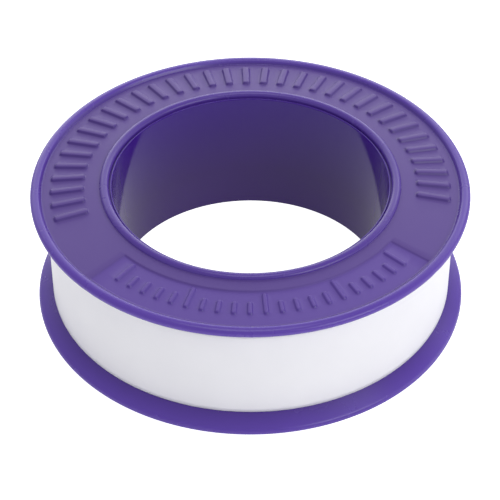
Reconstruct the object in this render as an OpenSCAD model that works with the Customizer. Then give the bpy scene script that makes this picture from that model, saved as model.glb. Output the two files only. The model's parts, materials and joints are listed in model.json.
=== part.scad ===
// Roll of thread seal tape: white film wound on a two-piece violet spool with an open bore.
// Millimetres. The bore's axis is Z, the roll stands on Z = 0, and the panel on the upper face is towards -Y.

/* [Tape] */
// Width of the tape
tape_w = 12; // [6:0.5:19]
// Thickness of one layer of the tape
tape_t = 0.075; // [0.05:0.005:0.2]
// Diameter of the wound tape, over the start of its last turn
tape_od = 49.2; // [42:0.2:50]
// Room between the last turn and the layer below it
layer_gap = 0.04; // [0.02:0.01:0.1]
// Part of the last turn that is left open under the free end, in degrees
turn_opening = 10; // [4:1:30]
// Angle at which the free end leaves the roll, in degrees from +X
tail_root = 70; // [0:1:360]
// Length of the free end, along the roll
tail_len = 15; // [8:1:30]

/* [Spool] */
// Outside diameter of both flanges
flange_d = 53; // [52:0.5:60]
// Diameter of the open bore
bore_d = 33.4; // [28:0.2:35]
// Wall of the hub that the tape is wound on
hub_wall = 1.05; // [0.8:0.05:2]
// Thickness of a flange at the foot of its rim
flange_t = 1.74; // [1:0.02:2.4]
// Radius of the rim's outer edge
rim_round = 0.53; // [0.4:0.01:0.7]
// Width of the rim at its foot
rim_w = 1.35; // [1.2:0.05:1.6]
// How far the rim's inner wall leans outwards over its height
rim_lean = 0.35; // [0.1:0.05:0.4]
// Height of the rim above the outer face of its flange
rim_h = 0.48; // [0.4:0.02:0.7]
// Slope of the flange's inner edge, which leads the tape in, in degrees
lead_in = 36; // [25:1:50]
// Climb of the upper face from the foot of its rim to the collar bead
face_rise = 0.72; // [0.2:0.02:1.2]

/* [Collar and foot] */
// Width of the collar outside the hub
collar_wall = 0.4; // [0.3:0.05:0.8]
// Height of the collar's rounded bead above the upper face
bead_h = 0.46; // [0.3:0.02:0.8]
// Width of the lip at the hub's end, round the mouth of the bore
lip_w = 0.18; // [0.15:0.01:0.4]
// Height of the lip above the step that the collar rests on
lip_h = 0.25; // [0.1:0.05:0.4]
// Depth of the lip's end below the foot of the bead
lip_drop = 0.1; // [0.05:0.05:0.3]
// Width of the seam between the lip and the bead
seam_w = 0.14; // [0.08:0.02:0.3]
// Width of the foot ring round the lower mouth of the bore
foot_w = 1.4; // [1:0.1:2.5]
// Rounding of the foot ring's two edges
foot_round = 0.15; // [0.1:0.05:0.4]

/* [Fits] */
// Room under the tape, above the lower flange
tape_room_low = 0.05; // [0.05:0.05:0.5]
// Room above the tape, below the upper flange
tape_room_top = 0.05; // [0.05:0.05:0.5]
// Room between the hub and the innermost layer of tape
wind_room = 0.05; // [0.02:0.01:0.1]
// Room between the free end and the turn below it
tail_room = 0.15; // [0.1:0.05:0.5]
// Room between the hub's end and the collar
seat_room = 0.03; // [0.02:0.01:0.1]
// Height of the snap ridge on the hub
snap_h = 0.15; // [0.1:0.05:0.25]
// Width of the snap ridge along the hub
snap_w = 0.6; // [0.4:0.1:0.8]
// Depth of the snap ridge's middle below the step that the collar rests on
snap_drop = 1; // [0.8:0.1:1.6]

/* [Face relief] */
// Number of grip ribs on the upper face
rib_count = 34; // [6:1:48]
// Width of a grip rib
rib_w = 0.9; // [0.4:0.1:1.2]
// Length of a grip rib, along the radius
rib_len = 4.3; // [2:0.1:5]
// Distance from the foot of the rim to the ribs
rib_edge = 0.95; // [0.5:0.05:2]
// Arc that the ribs span, in degrees
rib_arc = 203; // [90:1:220]
// Height of the ribs above the upper face
rib_h = 0.3; // [0.15:0.05:0.6]
// Arc of the sunk panel, in degrees
panel_arc = 103; // [60:1:120]
// Distance from the collar to the sunk panel
panel_edge = 1.6; // [0.8:0.1:3]
// Distance from the sunk panel to the foot of the rim
panel_rim_gap = 0.3; // [0.1:0.05:1]
// Depth of the sunk panel
panel_depth = 0.2; // [0.1:0.05:0.4]
// Number of ticks on the panel's scale
tick_count = 21; // [6:1:41]
// Every so many ticks one is long
tick_group = 5; // [2:1:10]
// Arc that the scale spans, in degrees
tick_arc = 92; // [40:1:110]
// Width of a tick
tick_w = 0.55; // [0.3:0.05:1]
// Length of a long tick
tick_long = 3.1; // [1.5:0.1:3.4]
// Length of a short tick
tick_short = 1.9; // [0.8:0.1:3]
// Distance from the foot of the rim to the ticks
tick_edge = 2; // [1:0.1:3]
// Height of the ticks above the panel
tick_h = 0.25; // [0.1:0.05:0.5]

/* [Hidden] */
$fn = 96;

violet = [0.36, 0.25, 0.62];
white = [0.95, 0.95, 0.96];
arc_steps = 8;
turn_step = 3;
// How far a cut or a relief reaches past the surface that it starts from
overlap = 0.3;

// Radii from the axis outwards
bore_r = bore_d / 2;
hub_r = bore_r + hub_wall;
seat_r = hub_r + seat_room;
lip_out = bore_r + lip_w;
bead_in = lip_out + seam_w;
bead_out = hub_r + collar_wall;
flange_r = flange_d / 2;
rim_in = flange_r - rim_w;

// Heights, from the foot upwards
low_face_z = rim_h + flange_t;
tape_z = low_face_z + tape_room_low;
high_face_z = tape_z + tape_w + tape_room_top;
rim_top_z = high_face_z + flange_t + rim_h;
bead_foot_z = rim_top_z - rim_h + face_rise;
bead_top_z = bead_foot_z + bead_h;
hub_top_z = bead_foot_z - lip_drop;
step_z = hub_top_z - lip_h;
snap_z = step_z - snap_drop;

// The wound tape: a plain core, then the last turn, which climbs one layer and one gap in 360 degrees
core_r = tape_od / 2 - tape_t - layer_gap;
turn_pitch = tape_t + layer_gap;
turn_sweep = 360 - turn_opening;
turn_start = tail_root - turn_sweep;
turn_count = ceil(turn_sweep / turn_step);
tail_r = core_r + turn_pitch + turn_pitch + tail_room;
tail_sweep = tail_len / tail_r * 180 / PI;
tail_split = tail_room / tail_r * 180 / PI;

function polar(r, a) = [r * cos(a), r * sin(a)];

// Points of an ellipse's arc round a centre in the plane of radius and height
function arc(centre, half_w, half_h, from, to) =
    [for (k = [0:arc_steps])
        let (a = from + (to - from) * k / arc_steps)
        centre + [half_w * cos(a), half_h * sin(a)]];

// Edge of a flange as radius and depth below the crest of its rim, from the rim's foot round to the inner face.
// The round ends where its slope is that of the lead-in, which then runs straight to the inner face.
round_end = 90 - lead_in;
round_end_r = flange_r - rim_round + rim_round * cos(round_end);
round_end_depth = rim_round + rim_round * sin(round_end);
inner_depth = rim_h + flange_t;
inner_edge_r = round_end_r - (inner_depth - round_end_depth) / tan(lead_in);
flange_edge = concat(
    [[rim_in, rim_h], [rim_in + rim_lean, 0]],
    arc([flange_r - rim_round, rim_round], rim_round, rim_round, 270, 360 + round_end),
    [[inner_edge_r, inner_depth]]);

// Hub and lower flange, from the bore's lower mouth outwards, round the flange's edge and up to the hub's lip
foot_edge = min(foot_round, rim_h);
foot_out = bore_r + foot_w;
hub_outline = concat(
    arc([bore_r + foot_edge, foot_edge], foot_edge, foot_edge, 180, 270),
    arc([foot_out - foot_edge, foot_edge], foot_edge, foot_edge, 270, 360),
    [[foot_out, rim_h]],
    flange_edge,
    [[hub_r, low_face_z],
     [hub_r, snap_z - snap_w / 2],
     [hub_r + snap_h, snap_z],
     [hub_r, snap_z + snap_w / 2],
     [hub_r, step_z],
     [lip_out, step_z],
     [lip_out, hub_top_z],
     [bore_r, hub_top_z]]);

// Upper flange, from the mouth of its seat along the inner face, round the edge, over the face and the bead
bead_mid = (bead_in + bead_out) / 2;
bead_half = (bead_out - bead_in) / 2;
upper_outline = concat(
    [[seat_r, high_face_z]],
    [for (k = [len(flange_edge) - 1:-1:0]) [flange_edge[k][0], rim_top_z - flange_edge[k][1]]],
    arc([bead_mid, bead_foot_z], bead_half, bead_h, 0, 90),
    arc([bead_mid, bead_foot_z], bead_half, bead_h, 90, 180),
    [[bead_in, step_z],
     [seat_r, step_z],
     [seat_r, snap_z + snap_w / 2 + seat_room],
     [seat_r + snap_h, snap_z],
     [seat_r, snap_z - snap_w / 2 - seat_room]]);

// Height of the upper face, which is a shallow cone between the rim and the bead
function face_z(r) = rim_top_z - rim_h + face_rise * (rim_in - r) / (rim_in - bead_out);

// Radii of the relief on the upper face
rib_out = rim_in - rib_edge;
rib_in = rib_out - rib_len;
panel_in = bead_out + panel_edge;
panel_out = rim_in - panel_rim_gap;
tick_out = rim_in - tick_edge;

// Points along one side of the last turn, at a height above the layer below it
function turn_side(lift) =
    [for (k = [0:turn_count])
        let (a = turn_sweep * k / turn_count)
        polar(core_r + layer_gap + lift + turn_pitch * a / 360, turn_start + a)];

turn_inner = turn_side(0);
turn_outer = turn_side(tape_t);

// The least gap of the last turn to itself lies across its opening, between its two ends
near = floor(turn_count / 4);
turn_gap = min([for (i = [0:near]) for (j = [turn_count - near:turn_count]) norm(turn_inner[i] - turn_outer[j])]);
echo(least_gap_of_the_last_turn_to_itself_mm = turn_gap);

// A flat bar along the radius at an angle
module radial_bar(angle, from, to, width) {
    rotate(angle) translate([from, -width / 2]) square([to - from, width]);
}

// The layer that follows the upper face between two radii and two heights above it, where its children stand
module face_layer(from, to, low, high) {
    intersection() {
        rotate_extrude()
            polygon([
                [from, face_z(from) + low],
                [to, face_z(to) + low],
                [to, face_z(to) + high],
                [from, face_z(from) + high]]);
        translate([0, 0, high_face_z]) linear_extrude(bead_top_z - high_face_z) children();
    }
}

// Ribs for a thumb to turn the roll by, over the back of the upper face
module grip_ribs() {
    face_layer(rib_in, rib_out, -overlap, rib_h)
        for (k = [0:rib_count - 1])
            radial_bar(90 + rib_arc * (k / (rib_count - 1) - 0.5), rib_in - overlap, rib_out + overlap, rib_w);
}

// A plain scale on the sunk panel at the front of the upper face
module panel_scale() {
    face_layer(tick_out - tick_long, tick_out, -panel_depth - overlap, tick_h - panel_depth)
        for (k = [0:tick_count - 1])
            radial_bar(
                -90 + tick_arc * (k / (tick_count - 1) - 0.5),
                tick_out - (k % tick_group == 0 ? tick_long + overlap : tick_short), tick_out + overlap, tick_w);
}

module panel_cut() {
    rotate_extrude(angle = panel_arc, start = -90 - panel_arc / 2)
        polygon([
            [panel_in, face_z(panel_in) - panel_depth],
            [panel_out, face_z(panel_out) - panel_depth],
            [panel_out, bead_top_z + overlap],
            [panel_in, bead_top_z + overlap]]);
}

// One moulding: the hub with the lower flange, and a snap ridge near the hub's end
module spool_hub() {
    color(violet) rotate_extrude() polygon(hub_outline);
}

// One moulding: the upper flange, which drops over the hub's end until its collar rests on the step
module upper_flange() {
    color(violet) {
        difference() {
            rotate_extrude() polygon(upper_outline);
            panel_cut();
        }
        grip_ribs();
        panel_scale();
    }
}

// The layers of tape under the last turn
module tape_winding() {
    color(white)
        translate([0, 0, tape_z])
            rotate_extrude()
                translate([hub_r + wind_room, 0]) square([core_r - hub_r - wind_room, tape_w]);
}

// The last turn of the tape, up to where the free end leaves it
module tape_outer_turn() {
    color(white)
        translate([0, 0, tape_z])
            linear_extrude(tape_w)
                polygon(concat(turn_outer, [for (k = [turn_count:-1:0]) turn_inner[k]]));
}

// The free end of the tape, lying on the roll
module tape_tail() {
    color(white)
        translate([0, 0, tape_z])
            rotate_extrude(angle = tail_sweep, start = tail_root + tail_split)
                translate([tail_r, 0]) square([tape_t, tape_w]);
}

spool_hub();
upper_flange();
tape_winding();
tape_outer_turn();
tape_tail();
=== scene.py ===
import json
import math

import bpy
import numpy as np
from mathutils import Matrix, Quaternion, Vector


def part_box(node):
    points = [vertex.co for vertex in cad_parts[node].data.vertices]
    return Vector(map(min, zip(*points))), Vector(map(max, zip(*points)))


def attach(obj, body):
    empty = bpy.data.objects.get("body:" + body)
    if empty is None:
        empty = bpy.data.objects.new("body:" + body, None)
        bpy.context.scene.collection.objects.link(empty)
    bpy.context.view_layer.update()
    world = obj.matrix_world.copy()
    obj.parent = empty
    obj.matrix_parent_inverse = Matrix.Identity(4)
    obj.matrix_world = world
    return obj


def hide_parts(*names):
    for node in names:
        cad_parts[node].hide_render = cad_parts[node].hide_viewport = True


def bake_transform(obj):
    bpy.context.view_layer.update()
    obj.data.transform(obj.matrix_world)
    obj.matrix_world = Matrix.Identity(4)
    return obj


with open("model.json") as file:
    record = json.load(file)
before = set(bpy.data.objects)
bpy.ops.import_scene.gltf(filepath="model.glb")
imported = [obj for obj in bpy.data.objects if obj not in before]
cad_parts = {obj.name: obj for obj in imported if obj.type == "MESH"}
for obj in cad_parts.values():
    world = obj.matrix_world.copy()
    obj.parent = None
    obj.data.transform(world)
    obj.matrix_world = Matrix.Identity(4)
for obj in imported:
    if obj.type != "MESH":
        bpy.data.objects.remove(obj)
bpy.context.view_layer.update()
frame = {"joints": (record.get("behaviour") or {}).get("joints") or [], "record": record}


# Spool hub: the tube that the tape is wound on, with the lower flange, in one violet polypropylene moulding.
# The tube is moulded on a polished core pin, so its bore shines, while the faces of the flange are satin.
# Its upper end carries a snap ridge and a step for the second flange, and a thin lip inside that one's bead.
MM = 0.001
SATIN = 0.0
SMOOTH = 0.6
POLISHED = 1.0
# The next two are shares of the paler tint, none and full: painted glow that stands in for light shining
# through thin walls, and painted light in shaded seams.
NO_GLOW = 0.0
PAINTED_GLOW = 1.0
bore_mount = next(m for m in frame["record"]["mounts"] if m["name"] == "bore")
bore_r = bore_mount["dims"]["r_mm"] * MM
hub_wall = 1.05 * MM
hub_r = bore_r + hub_wall
hub_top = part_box("spool_hub")[1].z
flange_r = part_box("spool_hub")[1].x
flange_t = 1.74 * MM
rim_round = 0.53 * MM
rim_w = 1.35 * MM
rim_lean = 0.35 * MM
rim_h = 0.48 * MM
rim_in = flange_r - rim_w
rim_foot = 0.08 * MM
crest_back = 0.14 * MM
crest_on = 0.22 * MM
crest_edge = 0.7 * MM
grain_end = 0.02 * MM
lead_in = math.radians(36)
slope_edge = 0.10 * MM
# Share of the paler tint at the rim's foot and the lead-in's inner end: painted glow.
slope_glow = 0.35
foot_w = 1.4 * MM
foot_round = 0.15 * MM
lip_w = 0.18 * MM
lip_h = 0.25 * MM
lip_edge = 0.04 * MM
# Share of the paler tint on the lip and the bore's mouth: painted glow. The bore's painted light is full at
# it.
lip_glow = 0.6
lip_out = bore_r + lip_w
mouth_edge = 0.07 * MM
step_edge = 0.03 * MM
step_z = hub_top - lip_h
snap_h = 0.15 * MM
snap_w = 0.6 * MM
snap_edge = 0.05 * MM
snap_drop = 1.0 * MM
snap_z = step_z - snap_drop
hub_columns = 360
deep_violet = ((0.0515, 0.0180, 0.199, 1), (0.0595, 0.0208, 0.229, 1))
# The paler tint: painted glow and painted light where the material reads its share, and a lighter tone on
# the sunk panel.
pale_violet = ((0.0890, 0.0390, 0.343, 1), (0.1022, 0.0448, 0.394, 1))
# The bore's colour is darker than the body low in the bore, as painted shade. It is lighter towards the
# mouth, as painted light, from a paler-tint share of 0.2 up to the lip's.
bore_shade_violet = (0.041, 0.008, 0.154, 1)
bore_light_violet = (0.048, 0.006, 0.265, 1)
bore_light_from = 0.2
# A whitish veil mixed into the colour of satin faces: painted sheen for the light their grain reflects.
painted_sheen_white = (0.30, 0.200, 0.57, 1)
painted_sheen_strength = 0.14
satin_rough = 0.46
polished_rough = 0.05
mark_rough = 0.1
flow_scale = 70.0
smear_scale = 240.0
drag_scale = 1500.0
drag_stretch = (1, 1, 0.03)
grain_scale = 3600.0
grain_depth = 0.012 * MM
grain_strength = 0.35
polished_grain = 0.12
plastic_ior = 1.49


def flange_edge():
    """Corners of a flange's edge, as rows of radius, depth below the rim's crest, reach back, reach on,
    polish and share of the paler tint, painted glow that stands in for light through the thin edge.
    They run from the rim's foot over its crest and down the lead-in to the inner face.
    The first row only ends the face's grain, just short of the foot."""
    bend = rim_round * math.tan((math.pi / 2 - lead_in) / 2)
    inner_depth = rim_h + flange_t
    inner_r = flange_r - (inner_depth - rim_round - bend) / math.tan(lead_in)
    return np.array([
        (rim_in - 2 * rim_foot, rim_h, grain_end, grain_end, SATIN, NO_GLOW),
        (rim_in, rim_h, rim_foot, rim_foot, SMOOTH, slope_glow),
        (rim_in + rim_lean, 0, crest_back, crest_on, SMOOTH, PAINTED_GLOW),
        (flange_r, 0, crest_edge, rim_round, SMOOTH, PAINTED_GLOW),
        (flange_r, rim_round + bend, bend, bend, SMOOTH, PAINTED_GLOW),
        (inner_r, inner_depth, slope_edge, slope_edge, SMOOTH, slope_glow),
    ])


def rounded_outline(corners, steps=8, finest=0.05 * MM, hold=0.05 * MM, same=0.001 * MM):
    """Closed outline from rows of radius, height, reach back, reach on and any finish values.
    Each corner becomes a quarter of an ellipse that touches its two sides, a reach before and after it:
    corner - back * (1 - sin t) * side in + on * (1 - cos t) * side out, for t from 0 to 90 degrees.
    Each side keeps a point close to both its ends, so that flat faces shade flat up to their edges.
    Points that fall on the one before them are left out."""
    corners = np.asarray(corners, float)
    place, reach, finish = corners[:, :2], corners[:, 2:4], corners[:, 4:]
    side = place - np.roll(place, 1, 0)
    length = np.linalg.norm(side, axis=1)
    into = (side / length[:, None])[:, None]
    out = np.roll(into, -1, 0)
    pieces = np.clip(np.round(reach.max(1) / finest), 2, steps)[:, None]
    turn = np.round(np.linspace(0, 1, steps + 1) * pieces) / pieces * math.pi / 2
    shares = np.stack([np.sin(turn) - 1, 1 - np.cos(turn)], -1) * reach[:, None]
    arcs = place[:, None] + shares[..., :1] * into + shares[..., 1:] * out
    free = np.maximum(length - reach[:, 0] - np.roll(reach[:, 1], 1), 0)
    spare = np.minimum(hold, free / 3)[:, None, None]
    before = arcs[:, :1] - spare * into
    after = arcs[:, -1:] + np.roll(spare, -1, 0) * out
    loop = np.concatenate([before, arcs, after], 1)
    finish = np.repeat(finish[:, None], loop.shape[1], 1)
    rows = np.concatenate([loop, finish], 2).reshape(-1, 2 + finish.shape[2])
    moved = np.linalg.norm(rows[:, :2] - np.roll(rows[:, :2], 1, 0), axis=1)
    return rows[moved > same]


def revolve(radius, height, angle):
    """Points at a radius and a height, turned about Z by an angle: x = r cos a, y = r sin a."""
    radius, height, angle = np.broadcast_arrays(radius, height, angle)
    return np.stack([radius * np.cos(angle), radius * np.sin(angle), height], -1)


def grid_mesh(name, points, wrap_rows=True, wrap_columns=True):
    """A smooth mesh over a grid of points: each cell between two rows and two columns is one face.
    A grid that wraps joins its last row or column to its first. One that doesn't wrap along its rows is
    a tube with a cap at each end."""
    rows, columns = points.shape[:2]
    index = np.arange(rows * columns).reshape(rows, columns)
    below = np.roll(index, -1, 0)
    faces = np.stack([index, below, np.roll(below, -1, 1), np.roll(index, -1, 1)], -1)
    faces = faces[:rows if wrap_rows else -1, :columns if wrap_columns else -1].reshape(-1, 4).tolist()
    if not wrap_rows and wrap_columns:
        faces += [index[0].tolist(), index[-1, ::-1].tolist()]
    mesh = bpy.data.meshes.new(name)
    mesh.from_pydata(points.reshape(-1, 3).tolist(), [], faces)
    mesh.shade_smooth()
    piece = bpy.data.objects.new(name, mesh)
    bpy.context.scene.collection.objects.link(piece)
    return piece


def set_finish(piece, name, values):
    """Writes a value for each point of a piece as a named attribute, which the piece's material reads."""
    attribute = piece.data.attributes.new(name, "FLOAT", "POINT")
    attribute.data.foreach_set("value", np.ascontiguousarray(values, np.float32).ravel())


def add_node(tree, kind, sockets, **settings):
    """Adds a shader node with its settings, and gives each socket a value or another node's output."""
    made = tree.nodes.new(kind)
    for key, value in settings.items():
        setattr(made, key, value)
    for key, value in sockets.items():
        if isinstance(value, bpy.types.NodeSocket):
            tree.links.new(value, made.inputs[key])
        else:
            made.inputs[key].default_value = value
    return made.outputs


def noise(tree, place, scale, detail):
    """A noise pattern over a place, in lumps of about one over the scale, in metres."""
    return add_node(tree, "ShaderNodeTexNoise", {"Vector": place, "Scale": scale, "Detail": detail})["Fac"]


def between(tree, share, first, second):
    """A colour that goes from the first to the second by a share."""
    return add_node(tree, "ShaderNodeMix", {0: share, 6: first, 7: second}, data_type="RGBA")[2]


def new_material(name):
    """An empty node material, with its tree and its surface shader."""
    material = bpy.data.materials.new(name)
    material.use_nodes = True
    return material, material.node_tree, material.node_tree.nodes["Principled BSDF"]


def moulded_violet():
    """Violet polypropylene with colour streaks from the melt's flow. A paler tint on the thin rims, bead,
    lip and lead-in, and in the seams, is painted glow: painted light that stands in for light shining
    through the thin walls and lightens the seams' shade; the sunk panel takes part of it as a lighter tone.
    A satin mould leaves a fine spark-eroded grain, and satin faces get a whitish veil mixed into their
    colour, painted sheen for the light the grain reflects; a smooth one doesn't. The polished core pin
    leaves drag marks along the axis; the bore is painted a deep colour, darker than the body, as painted
    shade, and lighter towards the thin lip at the mouth, as painted light."""
    material, tree, shader = new_material("moulded_violet")
    place = add_node(tree, "ShaderNodeTexCoord", {})["Object"]
    polish = add_node(tree, "ShaderNodeAttribute", {}, attribute_name="polish")["Fac"]
    # The paler tint's share: painted glow on thin edges, painted light in seams, and a lighter tone over the
    # sunk panel.
    thin = add_node(tree, "ShaderNodeAttribute", {}, attribute_name="thin")["Fac"]
    flow = noise(tree, place, flow_scale, 4.0)
    body = between(tree, thin, between(tree, flow, *deep_violet), between(tree, flow, *pale_violet))
    core = add_node(
        tree, "ShaderNodeMapRange",
        {"Value": polish, "From Min": SMOOTH, "From Max": POLISHED})["Result"]
    # Painted shade and light in the bore: its deep colour grows lighter towards the mouth as the paler
    # tint's share rises.
    bore_light_share = add_node(
        tree, "ShaderNodeMapRange",
        {"Value": thin, "From Min": bore_light_from, "From Max": lip_glow})["Result"]
    painted_bore_tint = between(tree, bore_light_share, bore_shade_violet, bore_light_violet)
    tint = between(tree, core, body, painted_bore_tint)
    # Painted sheen: a whitish veil in the colour of satin faces, which fades out by the smooth finish.
    painted_sheen_amount = add_node(
        tree, "ShaderNodeMapRange",
        {"Value": polish, "From Max": SMOOTH, "To Min": painted_sheen_strength, "To Max": 0.0})["Result"]
    tree.links.new(between(tree, painted_sheen_amount, tint, painted_sheen_white), shader.inputs["Base Color"])
    smear = noise(tree, place, smear_scale, 5.0)
    drawn = add_node(
        tree, "ShaderNodeVectorMath", {0: place, 1: drag_stretch}, operation="MULTIPLY")["Vector"]
    drag = noise(tree, drawn, drag_scale, 3.0)
    marks = add_node(tree, "ShaderNodeMix", {0: core, 2: smear, 3: drag})[0]
    sheen = add_node(
        tree, "ShaderNodeMapRange",
        {"Value": polish, "To Min": satin_rough, "To Max": polished_rough})["Result"]
    rough = add_node(
        tree, "ShaderNodeMath", {0: marks, 1: mark_rough, 2: sheen}, operation="MULTIPLY_ADD")[0]
    tree.links.new(rough, shader.inputs["Roughness"])
    grain = noise(tree, place, grain_scale, 2.0)
    depth = add_node(
        tree, "ShaderNodeMapRange", {"Value": polish, "To Min": 1.0, "To Max": polished_grain})["Result"]
    relief = add_node(tree, "ShaderNodeMath", {0: grain, 1: depth}, operation="MULTIPLY")[0]
    bump = add_node(
        tree, "ShaderNodeBump",
        {"Height": relief, "Strength": grain_strength, "Distance": grain_depth})["Normal"]
    tree.links.new(bump, shader.inputs["Normal"])
    shader.inputs["IOR"].default_value = plastic_ior
    return material


lower_edge = flange_edge()
low_face = lower_edge[-1, 1]
hub_corners = np.concatenate([
    [(bore_r, 0, foot_round, foot_round, POLISHED, NO_GLOW),
     (bore_r + foot_w, 0, foot_round, foot_round, SATIN, NO_GLOW),
     (bore_r + foot_w, rim_h, slope_edge, slope_edge, SATIN, NO_GLOW)],
    lower_edge,
    [(hub_r, low_face, slope_edge, slope_edge, SATIN, NO_GLOW),
     (hub_r, snap_z - snap_w / 2, snap_edge, snap_edge, SATIN, NO_GLOW),
     (hub_r + snap_h, snap_z, snap_edge, snap_edge, SATIN, NO_GLOW),
     (hub_r, snap_z + snap_w / 2, snap_edge, snap_edge, SATIN, NO_GLOW),
     (hub_r, step_z, step_edge, step_edge, SATIN, NO_GLOW),
     # From the step's inner corner up over the lip the paler tint rises. This is painted light that lightens
     # the shade in the seam under the second flange's bead, and painted glow on the thin lip.
     (lip_out, step_z, step_edge, step_edge, SATIN, PAINTED_GLOW),
     (lip_out, hub_top, lip_edge, lip_edge, SMOOTH, lip_glow),
     (bore_r, hub_top, mouth_edge, mouth_edge, POLISHED, lip_glow)],
])
hub_outline = rounded_outline(hub_corners)
hub_turn = np.linspace(0, 2 * math.pi, hub_columns, endpoint=False)[:, None]
hub = grid_mesh("spool_hub_moulding", revolve(hub_outline[:, 0], hub_outline[:, 1], hub_turn))
hub_grid = (len(hub_turn), len(hub_outline))
set_finish(hub, "polish", np.broadcast_to(hub_outline[:, 2], hub_grid))
# The paler tint along the outline: painted glow on the rim, lead-in and lip, painted light in the seam, and
# in the bore painted light towards the mouth.
set_finish(hub, "thin", np.broadcast_to(hub_outline[:, 3], hub_grid))
violet = moulded_violet()
hub.data.materials.append(violet)
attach(hub, "spool")
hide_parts("spool_hub")


# Upper flange: a second violet moulding, a ring that is pressed over the hub's end until its bead seats.
# Its upper face is a shallow cone with grip ribs over the back and a sunk panel with a plain scale in front.
seat_gap = 0.03 * MM
seat_rest = 0.01 * MM
seam_gap = 0.14 * MM
bead_reach = 0.4 * MM
seat_r = hub_r + seat_gap
seat_z = step_z + seat_rest
bead_in = lip_out + seam_gap
bead_out = hub_r + bead_reach
bead_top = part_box("upper_flange")[1].z
bead_h = 0.46 * MM
bead_half = (bead_out - bead_in) / 2
bead_foot = bead_top - bead_h
# Share of the paler tint on the bead: painted glow.
bead_glow = 0.6
face_rise = 0.72 * MM
face_rows = 74
rim_top = bead_foot - face_rise + rim_h
rib_count = 34
rib_w = 0.9 * MM
rib_len = 4.3 * MM
rib_margin = 0.95 * MM
rib_out = rim_in - rib_margin
rib_arc = math.radians(203)
rib_h = 0.3 * MM
panel_arc = math.radians(103)
panel_margin_in = 1.6 * MM
panel_margin_out = 0.3 * MM
panel_in = bead_out + panel_margin_in
panel_out = rim_in - panel_margin_out
panel_depth = 0.2 * MM
# The sunk panel is lighter by half of the paler tint.
panel_pale_share = 0.5
tick_count = 21
tick_group = 5
tick_arc = math.radians(92)
tick_w = 0.55 * MM
tick_margin = 2.0 * MM
tick_out = rim_in - tick_margin
tick_long = 3.1 * MM
tick_short = 1.9 * MM
tick_h = 0.25 * MM
wall_half = 0.11 * MM
wall_lines = (-1.2, -0.4, 0.4, 1.2)
plain_columns = 16
plain_margin = 0.1
back = math.pi / 2
front = -math.pi / 2


def raised(distance):
    """Height from 0 to 1 across a moulded wall: a smooth step that is 1 inside an outline and 0 outside it,
    over a distance of wall_half on both sides of the outline."""
    t = np.clip(0.5 - distance / (2 * wall_half), 0, 1)
    return t * t * (3 - 2 * t)


def bar_distance(radius, angle, middle, arc, count, width, inner, outer):
    """Distance to the nearest of some round-ended radial bars, negative inside: the length from the point to
    the bar's centre line, less half its width. The bars stand evenly along an arc about a middle angle."""
    pitch = arc / (count - 1)
    turn = np.angle(np.exp(1j * (angle - middle)))
    nearest = np.clip(np.round(turn / pitch + (count - 1) / 2), 0, count - 1)
    offset = turn - (nearest - (count - 1) / 2) * pitch
    if np.ndim(inner):
        inner = inner[nearest.astype(int)]
    along = radius * np.cos(offset)
    past = np.maximum(np.maximum(inner + width / 2 - along, along - outer + width / 2), 0)
    return np.hypot(radius * np.sin(offset), past) - width / 2


def face_relief(radius, angle):
    """Height of the relief above the upper face: the ribs, less the sunk panel, plus the ticks in it.
    Also how far each point is on a bar's wall, which the mould's grain doesn't reach, and in the panel."""
    ribs = raised(bar_distance(radius, angle, back, rib_arc, rib_count, rib_w, rib_out - rib_len, rib_out))
    turn = np.abs(np.angle(np.exp(1j * (angle - front))))
    beside = radius * np.sin(np.clip(turn - panel_arc / 2, -math.pi / 2, math.pi / 2))
    panel = raised(np.maximum(beside, np.maximum(panel_in - radius, radius - panel_out)))
    tick_in = tick_out - np.where(np.arange(tick_count) % tick_group == 0, tick_long, tick_short)
    ticks = raised(bar_distance(radius, angle, front, tick_arc, tick_count, tick_w, tick_in, tick_out))
    bars = np.maximum(ribs, ticks)
    return rib_h * ribs - panel_depth * panel + tick_h * ticks, 4 * bars * (1 - bars), panel


def every_pair(angles, shifts):
    """Each angle with each sideways shift, as rows of two."""
    return np.stack(np.meshgrid(angles, shifts), -1).reshape(-1, 2)


def relief_columns():
    """Angle and sideways shift of each column of the flange's grid, in order round the ring.
    The columns lie along the walls of the ribs, ticks and panel, so that these stay straight and crisp."""
    wall = wall_half * np.array(wall_lines)
    ribs = back + rib_arc * (np.arange(rib_count) / (rib_count - 1) - 0.5)
    ticks = front + tick_arc * (np.arange(tick_count) / (tick_count - 1) - 0.5)
    sides = front + panel_arc * np.array([-0.5, 0.5])
    gap = (math.radians(360) - rib_arc - panel_arc) / 2
    plain = np.linspace(plain_margin, 1 - plain_margin, plain_columns) * gap
    middles = [(ribs[1:] + ribs[:-1]) / 2, (ticks[1:] + ticks[:-1]) / 2, sides[1] + plain, sides[0] - plain]
    spread = np.concatenate([
        every_pair(ribs, np.concatenate([wall - rib_w / 2, wall + rib_w / 2])),
        every_pair(ticks, np.concatenate([wall - tick_w / 2, wall + tick_w / 2])),
        every_pair(sides, wall),
        every_pair(np.concatenate(middles), [0]),
    ])
    order = np.argsort((spread[:, 0] + spread[:, 1] / rim_in) % (2 * math.pi))
    return spread[order]


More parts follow.
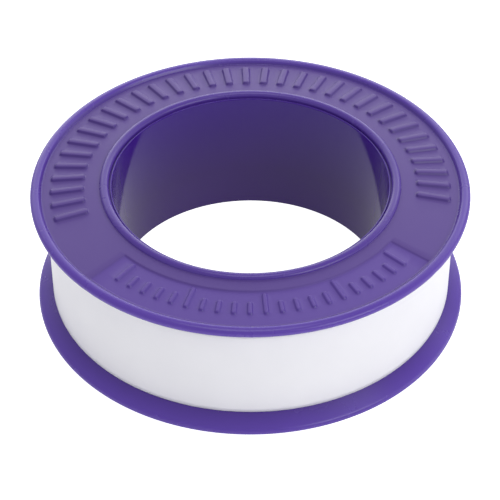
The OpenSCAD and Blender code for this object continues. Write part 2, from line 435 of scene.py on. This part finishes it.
upper_edge = flange_edge()[::-1, [0, 1, 3, 2, 4, 5]] * (1, -1, 1, 1, 1, 1) + (0, rim_top, 0, 0, 0, 0)
high_face = upper_edge[0, 1]
flange_corners = np.concatenate([
    [(seat_r, high_face, snap_edge, snap_edge, SATIN, NO_GLOW)],
    upper_edge,
    [(bead_out, bead_foot, slope_edge, 0, SATIN, NO_GLOW),
     (bead_out, bead_top, bead_h, bead_half, SMOOTH, bead_glow),
     (bead_in, bead_top, bead_half, bead_h, SMOOTH, bead_glow),
     # The bead's inner wall takes the full paler tint at its foot: painted light that lightens the shade in
     # the seam.
     (bead_in, seat_z, step_edge, step_edge, SMOOTH, PAINTED_GLOW),
     (seat_r, seat_z, step_edge, step_edge, SATIN, NO_GLOW),
     (seat_r, snap_z + snap_w / 2, snap_edge, snap_edge, SATIN, NO_GLOW),
     (seat_r + snap_h, snap_z, snap_edge, snap_edge, SATIN, NO_GLOW),
     (seat_r, snap_z - snap_w / 2, snap_edge, snap_edge, SATIN, NO_GLOW)],
])
flange_outline = rounded_outline(flange_corners)
face_at = np.argmax(np.linalg.norm(np.diff(flange_outline[:, :2], axis=0), axis=1))
face_share = np.linspace(0, 1, face_rows)[:, None]
face = flange_outline[face_at] * (1 - face_share) + flange_outline[face_at + 1] * face_share
flange_rows = np.concatenate([flange_outline[:face_at], face, flange_outline[face_at + 2:]])
on_face = np.abs(np.arange(len(flange_rows)) - face_at - face_rows / 2) < face_rows / 2
columns = relief_columns()
row_r = flange_rows[None, :, 0]
column_turn = columns[:, :1] + np.arcsin(columns[:, 1:] / row_r)
lift, on_wall, in_panel = np.where(on_face, face_relief(row_r, column_turn), 0)
flange = grid_mesh("upper_flange_moulding", revolve(row_r, flange_rows[None, :, 1] + lift, column_turn))
set_finish(flange, "polish", np.maximum(flange_rows[:, 2], SMOOTH * on_wall))
# The paler tint comes from the rows as painted glow on the rim and bead and painted light in the seam. The
# sunk panel gets a lighter tone.
set_finish(flange, "thin", np.maximum(flange_rows[:, 3], panel_pale_share * in_panel))
flange.data.materials.append(violet)
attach(flange, "spool")
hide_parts("upper_flange")


# Tape winding: the layers of white film under the last turn, wound tight on the hub between the flanges.
# Only the ends of the roll could show its layers, so they are lines in the finish of a plain ring.
wind_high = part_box("tape_winding")[1]
wind_gap = 0.05 * MM
wind_in = hub_r + wind_gap
wind_out = wind_high.x
wind_edge = 0.06 * MM
film_gap = 0.02 * MM
film_foot = low_face + film_gap
film_white = ((0.805, 0.803, 0.85, 1), (0.86, 0.858, 0.90, 1))
film_rough = (0.38, 0.52)
film_ior = 1.36
streak_scale = 2600.0
streak_depth = 0.01 * MM
streak_strength = 0.25
ring_scale = 9000.0
ring_share = 3.0
cloud_scale = 160.0


def white_film(name, layers=0.0):
    """Unsintered white film: a waxy, nearly flat white with faint streaks along the tape from its rolling.
    Layers is how strongly the edges of the wound layers show as fine rings about the roll's axis."""
    material, tree, shader = new_material(name)
    place = add_node(tree, "ShaderNodeTexCoord", {})["Object"]
    split = add_node(tree, "ShaderNodeSeparateXYZ", {"Vector": place})
    flat = add_node(tree, "ShaderNodeCombineXYZ", {"X": split["X"], "Y": split["Y"]})["Vector"]
    radius = add_node(tree, "ShaderNodeVectorMath", {0: flat}, operation="LENGTH")["Value"]
    streak = add_node(
        tree, "ShaderNodeTexNoise", {"W": split["Z"], "Scale": streak_scale, "Detail": 3.0},
        noise_dimensions="1D")["Fac"]
    rings = add_node(
        tree, "ShaderNodeTexNoise", {"W": radius, "Scale": ring_scale, "Detail": 1.0},
        noise_dimensions="1D")["Fac"]
    cloud = noise(tree, place, cloud_scale, 4.0)
    tree.links.new(between(tree, cloud, *film_white), shader.inputs["Base Color"])
    rough = add_node(
        tree, "ShaderNodeMapRange",
        {"Value": streak, "To Min": film_rough[0], "To Max": film_rough[1]})["Result"]
    tree.links.new(rough, shader.inputs["Roughness"])
    ridges = add_node(tree, "ShaderNodeMath", {0: rings, 1: layers, 2: streak}, operation="MULTIPLY_ADD")[0]
    bump = add_node(
        tree, "ShaderNodeBump",
        {"Height": ridges, "Strength": streak_strength, "Distance": streak_depth})["Normal"]
    tree.links.new(bump, shader.inputs["Normal"])
    shader.inputs["IOR"].default_value = film_ior
    return material


wind_outline = rounded_outline([
    (wind_in, film_foot, wind_edge, wind_edge),
    (wind_out, film_foot, wind_edge, wind_edge),
    (wind_out, wind_high.z, wind_edge, wind_edge),
    (wind_in, wind_high.z, wind_edge, wind_edge),
])
winding = grid_mesh("tape_wound_layers", revolve(wind_outline[:, 0], wind_outline[:, 1], hub_turn))
winding.data.materials.append(white_film("white_film_layers", layers=ring_share))
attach(winding, "spool")
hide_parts("tape_winding")


# Last turn of the tape: one layer of the same film, which climbs over the winding nearly once round.
# It lies by its own tension, with slight waves along its upper edge, up to where the free end leaves it.
tape_t = 0.075 * MM
turn_gap = 0.04 * MM
turn_pitch = tape_t + turn_gap
turn_sweep = math.radians(350)
turn_steps = 480
tail_root = math.radians(70)
wave_h = 0.02 * MM
long_waves = 7
short_waves = 17
wave_shift = 1.3
fine_waves = 31
fine_share = 0.7
bulge_h = 0.01 * MM
film = white_film("white_film")


def film_strip(name, radius, angle, high, steps=24):
    """A strip of film along a path of radius and angle about Z, from the tape's foot to a high edge.
    Its section is a thin upright loop: up the outer side in steps, and back down the inner side, one
    thickness in."""
    share = np.linspace(0, 1, steps)
    height = np.concatenate([share, share[::-1]])
    outward = np.concatenate([np.ones(steps), np.zeros(steps)]) * tape_t
    z = film_foot + (high - film_foot)[:, None] * height
    bulge = np.sin(np.pi * height) * bulge_h
    strip = grid_mesh(name, revolve(radius[:, None] + outward + bulge, z, angle[:, None]), wrap_rows=False)
    strip.data.materials.append(film)
    return strip


turn_along = np.linspace(0, 1, turn_steps)
turn_angle = tail_root - turn_sweep * (1 - turn_along)
turn_radius = wind_out + turn_gap + turn_pitch * turn_sweep / (2 * math.pi) * turn_along
waves = np.sin(long_waves * turn_angle) + np.sin(short_waves * turn_angle + wave_shift)
edge_wave = wave_h * (waves + fine_share * np.sin(fine_waves * turn_angle))
outer_turn = film_strip("tape_last_turn", turn_radius, turn_angle, wind_high.z + edge_wave)
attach(outer_turn, "spool")
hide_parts("tape_outer_turn")


# Free end of the tape: the last few millimetres of the same film, cut off square and lying on the roll.
# Nothing fixes it, so its tip lifts a little, and near its root it eases from the last turn's radius to its
# own.
tail_len = 15 * MM
tail_lift = 0.25 * MM
bend_len = 3 * MM
settle_share = 0.25
lift_from = 0.6
tail_steps = 60
peel = next(j for j in frame["joints"] if j["name"] == "tail_peel")
peel_at = Vector(peel["pos_m"])
tail_r = math.hypot(peel_at.x, peel_at.y)
tail_sweep = tail_len / tail_r
tail_along = np.linspace(0, 1, tail_steps)
settle = np.clip(tail_along / settle_share, 0, 1)
tail_radius = turn_radius[-1] + (tail_r - turn_radius[-1]) * settle * settle * (3 - 2 * settle)
lifted = np.clip((tail_along - lift_from) / (1 - lift_from), 0, 1)
tail_radius = tail_radius + tail_lift * lifted ** 2
tail_angle = tail_root + tail_along * (tail_sweep + math.atan2(peel_at.y, peel_at.x) - tail_root)
tail_wave = np.interp(tail_along, [0, 1], [edge_wave[-1], 0])
tail = film_strip("tape_free_end", tail_radius, tail_angle, wind_high.z + tail_wave)
bend_end = revolve(tail_r, peel_at.z, tail_root + bend_len / tail_r)
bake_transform(tail)
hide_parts("tape_tail")


# Studio: a pale table and room that glow a little, a soft panel above and a wide backdrop behind.
# A low panel stands on the right, a higher and stronger one front right, and a weak one front left.
# The camera stands where the photograph's was, found from the outlines of both flanges.
floor_half = 3.0
floor_drop = 0.05 * MM
floor_pale = (0.88, 0.88, 0.88, 1)
floor_rough = 0.7
floor_glow = 0.33
room_glow = 0.53
white = (1, 1, 1, 1)
image_px = 500
sensor_mm = 36
focal_px = 1947.3
camera_distance = 245.55 * MM
camera_elevation = math.radians(41.67)
camera_turn = math.radians(-94.5)
camera_roll = math.radians(-0.05)
origin_px = (250.4, 284.83)
near_clip = 10 * MM


def soft_light(name, turn, elevation, radiance, width, height=0.34, distance=0.8):
    """A soft panel that faces the roll from an angle round it and an elevation, both in degrees.
    Its power is its radiance times its area times pi."""
    lamp = bpy.data.lights.new(name, "AREA")
    lamp.shape = "RECTANGLE"
    lamp.size = width
    lamp.size_y = height
    lamp.energy = radiance * width * height * math.pi
    holder = bpy.data.objects.new(name, lamp)
    tilt = math.radians(elevation)
    holder.location = revolve(distance * math.cos(tilt), distance * math.sin(tilt), math.radians(turn))
    holder.rotation_mode = "QUATERNION"
    holder.rotation_quaternion = (-holder.location).to_track_quat("-Z", "Y")
    bpy.context.scene.collection.objects.link(holder)


def white_to_camera(tree, strength, glow):
    """Lets a stage surface give a weak light to the roll, and plain white to the camera."""
    seen = add_node(tree, "ShaderNodeLightPath", {})["Is Camera Ray"]
    light = add_node(tree, "ShaderNodeMapRange", {"Value": seen, "To Min": glow, "To Max": 1.0})["Result"]
    tree.links.new(light, strength)


span = np.linspace(-floor_half, floor_half, 2)
floor_x, floor_y = np.meshgrid(span, span, indexing="ij")
floor_points = np.stack([floor_x, floor_y, np.full_like(floor_x, -floor_drop)], -1)
floor = grid_mesh("studio_floor", floor_points, wrap_rows=False, wrap_columns=False)
floor_material, floor_tree, floor_shader = new_material("pale_table")
floor_shader.inputs["Base Color"].default_value = floor_pale
floor_shader.inputs["Roughness"].default_value = floor_rough
floor_shader.inputs["Emission Color"].default_value = white
white_to_camera(floor_tree, floor_shader.inputs["Emission Strength"], floor_glow)
floor_material.cycles.emission_sampling = "NONE"
floor.data.materials.append(floor_material)

soft_light("overhead", turn=0, elevation=90, radiance=2.0, width=0.36, height=0.36)
soft_light("backdrop_high", turn=90, elevation=36, radiance=1.2, width=1.6)
soft_light("backdrop_high_right", turn=40, elevation=36, radiance=0.94, width=0.5)
soft_light("backdrop_low", turn=90, elevation=12, radiance=1.84, width=0.8)
soft_light("right_low", turn=0, elevation=12, radiance=0.87, width=0.62)
soft_light("front_right_mid", turn=-45, elevation=36, radiance=2.87, width=0.5)
soft_light("front_left_low", turn=-135, elevation=12, radiance=0.18, width=0.62)
world = bpy.data.worlds.new("studio_room")
world.use_nodes = True
room = world.node_tree.nodes["Background"]
room.inputs["Color"].default_value = white
white_to_camera(world.node_tree, room.inputs["Strength"], room_glow)
bpy.context.scene.world = world
bpy.context.scene.view_settings.view_transform = "Standard"

lens = bpy.data.cameras.new("photo_camera")
lens.sensor_width = sensor_mm
lens.lens = focal_px / image_px * sensor_mm
lens.shift_x = 0.5 - origin_px[0] / image_px
lens.shift_y = origin_px[1] / image_px - 0.5
lens.clip_start = near_clip
camera = bpy.data.objects.new("photo_camera", lens)
towards = Vector(revolve(math.cos(camera_elevation), math.sin(camera_elevation), camera_turn))
camera.location = camera_distance * towards
camera.rotation_mode = "QUATERNION"
camera.rotation_quaternion = (-towards).to_track_quat("-Z", "Y") @ Quaternion((0, 0, 1), camera_roll)
bpy.context.scene.collection.objects.link(camera)
bpy.context.scene.camera = camera
